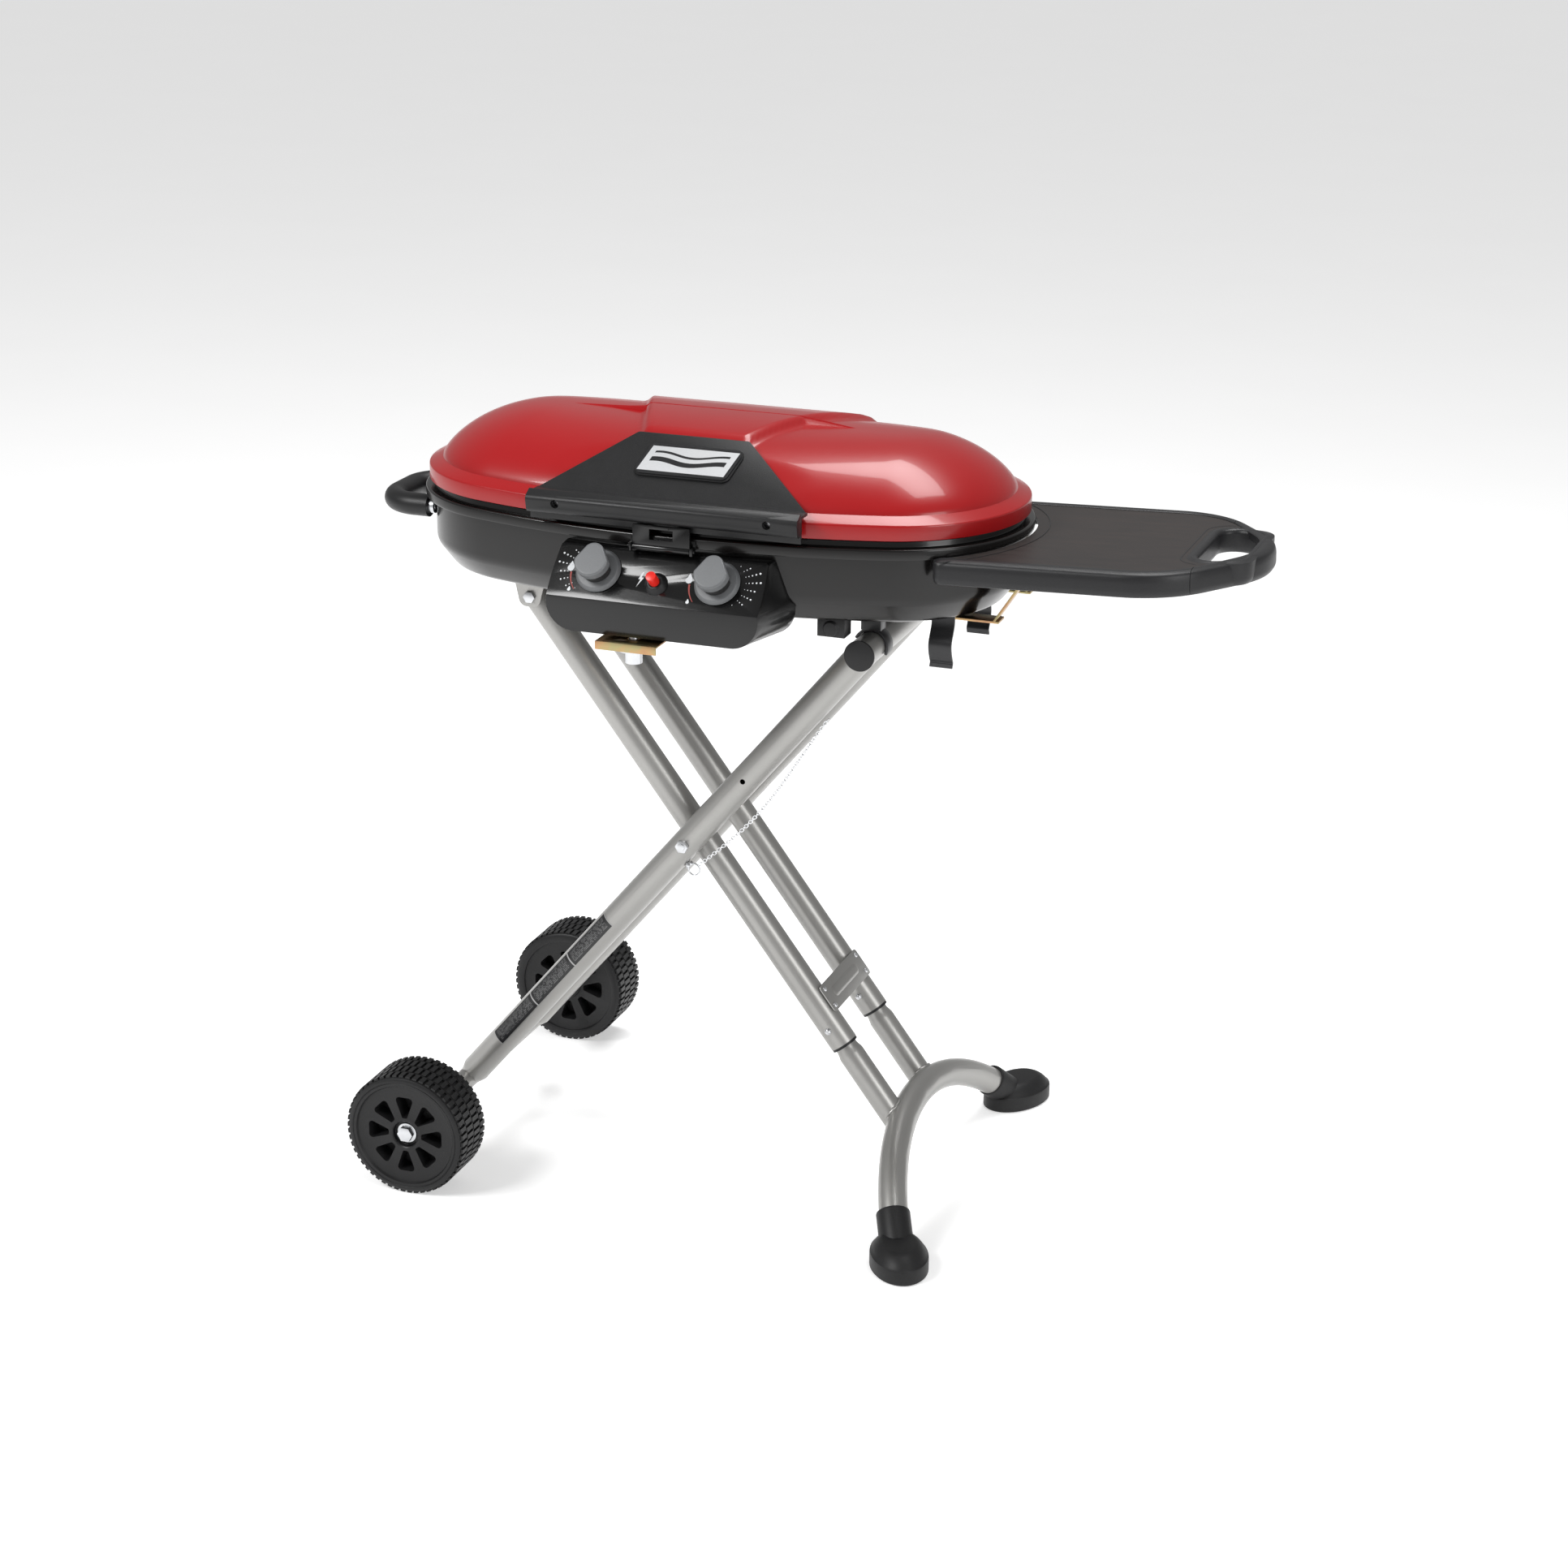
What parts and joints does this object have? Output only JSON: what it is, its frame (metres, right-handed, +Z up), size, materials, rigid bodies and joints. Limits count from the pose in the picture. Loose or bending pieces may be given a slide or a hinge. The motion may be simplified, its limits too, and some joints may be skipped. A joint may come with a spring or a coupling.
{
  "type": "roll-away gas grill",
  "caption": "Oval clamshell gas grill with a red lid, folding side table and carrying handle, on crossed folding tube legs with rubber feet and wheels.",
  "frame": {"origin": "on the ground under the middle of the whole grill's box", "axes": "+X towards the side table, -Y the front with the control panel, +Z up"},
  "size_m": [0.9968, 0.541, 0.857],
  "materials": {
    "black_enamel": "gloss enamel",
    "red_paint": "gloss enamel",
    "black_plastic": "fine satin texture",
    "table_plastic": "pebbled satin",
    "knob_plastic": "satin",
    "grey_plastic": "satin, metallic grey",
    "red_plastic": "gloss",
    "cast_grate": "porcelain coated",
    "burner_steel": "plain steel",
    "brass": "machined",
    "zinc": "bright zinc plated",
    "yellow_zinc": "yellow passivated zinc",
    "silver_paint": "silver powder coat",
    "black_spring": "black coated spring steel",
    "chain_chrome": "bright plated",
    "rubber": "moulded",
    "wheel_plastic": "moulded",
    "badge": "silver plate"
  },
  "bodies": {
    "cook_box": {"firebox": "black_enamel", "firebox_rim": "black_enamel", "grease_tray": "burner_steel", "left_grate": "cast_grate", "right_grate": "cast_grate", "burners": "burner_steel", "gas_rail": "brass", "valves": "brass", "regulator": "zinc", "regulator_bracket": "yellow_zinc", "control_panel": "black_plastic", "igniter_socket": "black_plastic", "igniter_module": "black_plastic", "hinge_bases": "zinc", "hinge_pins": "zinc", "latch_bracket": "black_plastic", "table_top": "table_plastic", "table_frame": "table_plastic", "table_grip": "black_plastic", "table_brackets": "yellow_zinc", "carry_handle": "black_plastic", "carry_bolts": "zinc", "leg_bracket": "silver_paint", "leg_clip": "black_spring", "clip_box": "black_plastic", "storage_hooks": "black_spring", "leg_bolts": "zinc"},
    "lid": {"lid_shell": "red_paint", "lid_plate": "black_plastic", "lid_grip": "black_plastic", "lid_screws": "zinc", "badge": "badge", "hinge_leaves": "zinc"},
    "latch": {"latch_flap": "black_plastic"},
    "left_knob": {"left_knob_skirt": "grey_plastic", "left_knob_body": "knob_plastic", "left_knob_cap": "grey_plastic"},
    "right_knob": {"right_knob_skirt": "grey_plastic", "right_knob_body": "knob_plastic", "right_knob_cap": "grey_plastic"},
    "igniter": {"igniter_button": "red_plastic"},
    "inner_legs": {"inner_tubes": "silver_paint", "inner_collars": "black_plastic", "tie_plate": "silver_paint", "tie_rivets": "zinc", "foot_legs": "silver_paint", "foot_bow": "silver_paint", "rubber_feet": "rubber"},
    "front_spring": {"front_spring_button": "zinc"},
    "rear_spring": {"rear_spring_button": "zinc"},
    "outer_legs": {"outer_tubes": "silver_paint", "cross_tube": "silver_paint", "end_caps": "black_plastic", "axle_tube": "silver_paint", "axle_bolts": "zinc", "crossing_bolts": "zinc", "tether_chain": "chain_chrome"},
    "pin": {"lock_pin": "zinc"},
    "front_wheel_body": {"front_wheel": "wheel_plastic"},
    "rear_wheel_body": {"rear_wheel": "wheel_plastic"}
  },
  "joints": [
    {"name": "lid_hinge", "type": "hinge", "parent": "cook_box", "child": "lid", "pos_m": [-0.10236, 0.19, 0.769], "axis": [-1, 0, 0], "range_deg": [0, 100]},
    {"name": "latch_turn", "type": "hinge", "parent": "cook_box", "child": "latch", "pos_m": [-0.10236, -0.187, 0.754], "axis": [1, 0, 0], "range_deg": [0, 75]},
    {"name": "left_knob_turn", "type": "hinge", "parent": "cook_box", "child": "left_knob", "pos_m": [-0.16836, -0.19702, 0.726], "axis": [0, 0.7615, -0.6481], "range_deg": [0, 120]},
    {"name": "right_knob_turn", "type": "hinge", "parent": "cook_box", "child": "right_knob", "pos_m": [-0.03635, -0.19702, 0.726], "axis": [0, 0.7615, -0.6481], "range_deg": [0, 120]},
    {"name": "igniter_press", "type": "slide", "parent": "cook_box", "child": "igniter", "axis": [0, 0.7615, -0.6481], "range_m": [0, 0.0057], "stiffness_N_per_m": 600, "springref_m": -0.003},
    {"name": "inner_leg_fold", "type": "hinge", "parent": "cook_box", "child": "inner_legs", "pos_m": [-0.30435, 0, 0.65], "axis": [0, -1, 0], "range_deg": [0, 51.85], "deforming": ["leg_clip", "storage_hooks"]},
    {"name": "outer_leg_fold", "type": "hinge", "parent": "inner_legs", "child": "outer_legs", "pos_m": [-0.11231, 0, 0.39654], "axis": [0, 1, 0], "range_deg": [0, 97]},
    {"name": "front_wheel_spin", "type": "hinge", "parent": "outer_legs", "child": "front_wheel_body", "pos_m": [-0.38398, 0, 0.071], "axis": [0, 1, 0], "continuous": true},
    {"name": "rear_wheel_spin", "type": "hinge", "parent": "outer_legs", "child": "rear_wheel_body", "pos_m": [-0.38398, 0, 0.071], "axis": [0, 1, 0], "continuous": true},
    {"name": "lock_pin_pull", "type": "slide", "parent": "outer_legs", "child": "pin", "axis": [0.7678, 0, -0.6407], "range_m": [0, 0.024]},
    {"name": "front_button_press", "type": "slide", "parent": "inner_legs", "child": "front_spring", "axis": [0, 1, 0], "range_m": [0, 0.0035], "stiffness_N_per_m": 800, "springref_m": -0.002},
    {"name": "rear_button_press", "type": "slide", "parent": "inner_legs", "child": "rear_spring", "axis": [0, 1, 0], "range_m": [0, 0.0035], "stiffness_N_per_m": 800, "springref_m": -0.002}
  ],
  "couplings": [
    {"joint": "outer_leg_fold", "follows": "inner_leg_fold", "ratio": 1.8709}
  ]
}
